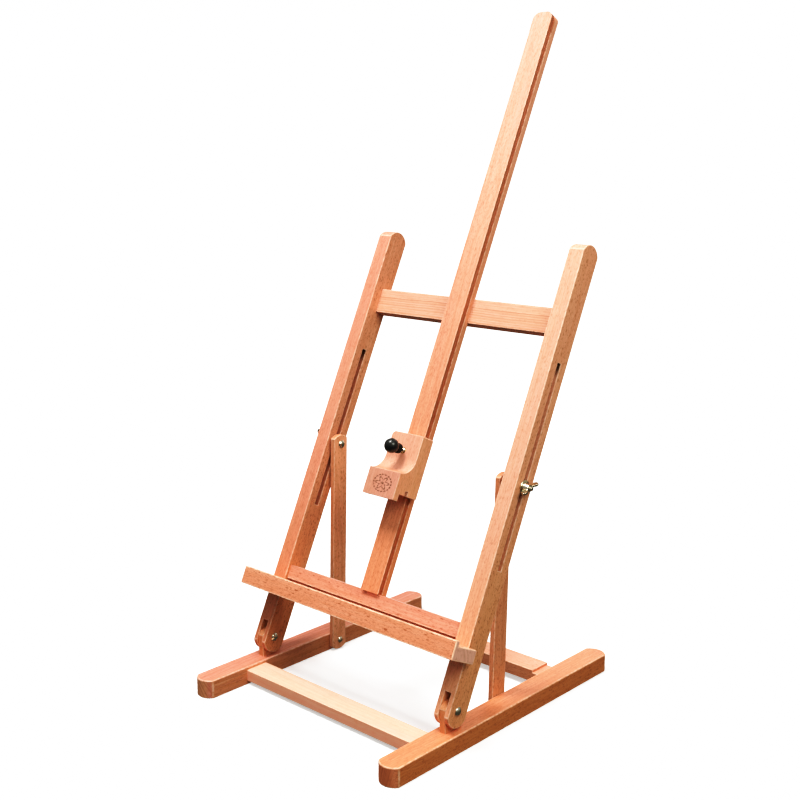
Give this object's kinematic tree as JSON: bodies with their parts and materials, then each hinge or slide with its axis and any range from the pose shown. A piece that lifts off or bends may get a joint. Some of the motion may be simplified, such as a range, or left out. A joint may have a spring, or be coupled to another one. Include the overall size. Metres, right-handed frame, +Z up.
{
  "type": "tabletop easel",
  "caption": "Wooden H-frame tabletop easel that leans on slotted side struts, folds flat, and grips a canvas between a lipped ledge and a sliding clamp on its mast.",
  "frame": {"origin": "bottom centre of the whole easel's box, on the table", "axes": "+X to the right seen from the front, +Y towards the back, +Z up; the frame leans towards +Y"},
  "size_m": [0.3982, 0.5432, 0.9396],
  "materials": {
    "beech": "satin oiled beech",
    "beech_red": "satin oiled beech, pinkish board",
    "beech_orange": "satin oiled beech, orange board",
    "beech_pale": "satin oiled beech, pale board",
    "nickel_hardware": "nickel-plated steel, slightly warm",
    "zinc_screws": "zinc-plated wood screws",
    "brass_inserts": "brass",
    "black_knob": "glossy moulded plastic"
  },
  "bodies": {
    "base": {"foot_left": "beech_red", "foot_right": "beech_orange", "front_stretcher": "beech_pale", "rear_stretcher": "beech", "front_stretcher_dowels": "beech_pale", "rear_stretcher_dowels": "beech_pale", "pivot_lug_left": "beech_orange", "pivot_lug_right": "beech_orange", "pivot_lug_screws": "zinc_screws", "strut_insert_left": "brass_inserts", "strut_insert_right": "brass_inserts"},
    "frame_pivots": {"pivot_bolt_left": "nickel_hardware", "pivot_bolt_right": "nickel_hardware", "pivot_cap_nut_left": "nickel_hardware", "pivot_cap_nut_right": "nickel_hardware"},
    "frame": {"post_left": "beech", "post_right": "beech", "crossbar": "beech_orange", "lower_rail": "beech_red", "mast": "beech_pale", "canvas_ledge": "beech", "crossbar_dowels": "beech_pale", "rail_dowels": "beech_pale", "ledge_screws": "zinc_screws", "mast_screws": "zinc_screws"},
    "canvas_holder": {"holder_block": "beech_orange", "holder_insert": "brass_inserts", "clamp_pad": "brass_inserts"},
    "clamp_knob": {"clamp_screw": "nickel_hardware", "clamp_knob": "black_knob"},
    "strut_pivot_left": {"strut_pivot_bolt_left": "nickel_hardware", "strut_pivot_washer_left": "nickel_hardware"},
    "strut_left": {"strut_left": "beech", "slot_bolt_left": "nickel_hardware", "slot_spacer_left": "nickel_hardware", "slot_washer_left": "nickel_hardware"},
    "slot_stud_left": {"slot_stud_left": "nickel_hardware"},
    "wing_nut_left": {"wing_nut_left": "nickel_hardware"},
    "strut_pivot_right": {"strut_pivot_bolt_right": "nickel_hardware", "strut_pivot_washer_right": "nickel_hardware"},
    "strut_right": {"strut_right": "beech", "slot_bolt_right": "nickel_hardware", "slot_spacer_right": "nickel_hardware", "slot_washer_right": "nickel_hardware"},
    "slot_stud_right": {"slot_stud_right": "nickel_hardware"},
    "wing_nut_right": {"wing_nut_right": "nickel_hardware"}
  },
  "joints": [
    {"name": "frame_fold", "type": "hinge", "parent": "base", "child": "frame_pivots", "pos_m": [0, -0.1456, 0.054], "axis": [-1, 0, 0], "range_deg": [0, 60]},
    {"name": "frame_raise", "type": "hinge", "parent": "frame_pivots", "child": "frame", "pos_m": [0, -0.1456, 0.054], "axis": [-1, 0, 0], "range_deg": [-25.3, 0]},
    {"name": "strut_left_fold", "type": "hinge", "parent": "base", "child": "strut_pivot_left", "pos_m": [-0.1525, -0.0253, 0.0155], "axis": [-1, 0, 0], "range_deg": [0, 75.15]},
    {"name": "strut_left_raise", "type": "hinge", "parent": "strut_pivot_left", "child": "strut_left", "pos_m": [-0.1525, -0.0253, 0.0155], "axis": [-1, 0, 0], "range_deg": [-24.3, 0]},
    {"name": "slot_stud_left_slide", "type": "slide", "parent": "frame", "child": "slot_stud_left", "axis": [0, 0.4274, 0.9041], "range_m": [0, 0.1227]},
    {"name": "wing_nut_left_turn", "type": "hinge", "parent": "strut_left", "child": "wing_nut_left", "pos_m": [-0.19, -0.01772, 0.31985], "axis": [-1, 0, 0], "continuous": true},
    {"name": "strut_right_fold", "type": "hinge", "parent": "base", "child": "strut_pivot_right", "pos_m": [0.1525, -0.0253, 0.0155], "axis": [-1, 0, 0], "range_deg": [0, 75.15]},
    {"name": "strut_right_raise", "type": "hinge", "parent": "strut_pivot_right", "child": "strut_right", "pos_m": [0.1525, -0.0253, 0.0155], "axis": [-1, 0, 0], "range_deg": [-24.3, 0]},
    {"name": "slot_stud_right_slide", "type": "slide", "parent": "frame", "child": "slot_stud_right", "axis": [0, 0.4274, 0.9041], "range_m": [0, 0.1227]},
    {"name": "wing_nut_right_turn", "type": "hinge", "parent": "strut_right", "child": "wing_nut_right", "pos_m": [0.19, -0.01772, 0.31985], "axis": [1, 0, 0], "continuous": true},
    {"name": "holder_slide", "type": "slide", "parent": "frame", "child": "canvas_holder", "axis": [0, 0.4274, 0.9041], "range_m": [-0.135, 0.64]},
    {"name": "clamp_knob_turn", "type": "hinge", "parent": "canvas_holder", "child": "clamp_knob", "pos_m": [0, -0.06909, 0.35298], "axis": [0, -0.9041, 0.4274], "continuous": true}
  ],
  "couplings": [
    {"joint": "strut_left_fold", "follows": "frame_fold", "ratio": 1.2523},
    {"joint": "strut_left_raise", "follows": "frame_raise", "ratio": 0.96018},
    {"joint": "slot_stud_left_slide", "follows": "frame_fold", "m_per_rad": 0.11713},
    {"joint": "strut_right_fold", "follows": "frame_fold", "ratio": 1.2523},
    {"joint": "strut_right_raise", "follows": "frame_raise", "ratio": 0.96018},
    {"joint": "slot_stud_right_slide", "follows": "frame_fold", "m_per_rad": 0.11713}
  ]
}
